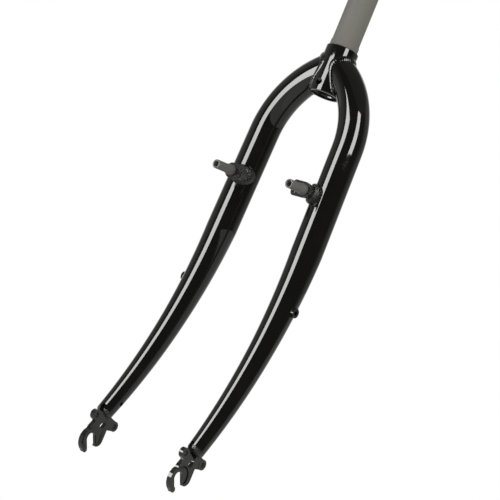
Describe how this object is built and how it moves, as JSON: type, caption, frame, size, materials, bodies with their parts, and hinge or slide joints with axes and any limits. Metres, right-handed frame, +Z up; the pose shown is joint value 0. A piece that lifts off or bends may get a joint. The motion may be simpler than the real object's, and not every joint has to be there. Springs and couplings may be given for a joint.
{
  "type": "bicycle fork",
  "caption": "Rigid unicrown steel fork with curved tapered blades, bare steerer, cantilever brake studs, carrier bosses and slotted fork ends with eyelets.",
  "frame": {"origin": "on the steerer axis at the top of the crown sleeve, where the crown race sits", "axes": "+Z up along the steerer, -Y forward (the way the fork rakes), +X to the rider's left"},
  "size_m": [0.1312, 0.0807, 0.5936],
  "materials": {
    "black_paint": "gloss",
    "bare_steel": "satin"
  },
  "bodies": {
    "root": {"steerer_tube": "bare_steel", "crown_sleeve": "black_paint", "sleeve_weld": "black_paint", "left_blade": "black_paint", "right_blade": "black_paint", "left_crown_weld": "black_paint", "right_crown_weld": "black_paint", "left_brake_boss": "black_paint", "right_brake_boss": "black_paint", "left_boss_weld": "black_paint", "right_boss_weld": "black_paint", "left_brake_stud": "bare_steel", "right_brake_stud": "bare_steel", "left_rack_boss": "black_paint", "right_rack_boss": "black_paint", "left_dropout": "black_paint", "right_dropout": "black_paint", "left_dropout_weld": "black_paint", "right_dropout_weld": "black_paint"}
  },
  "joints": []
}
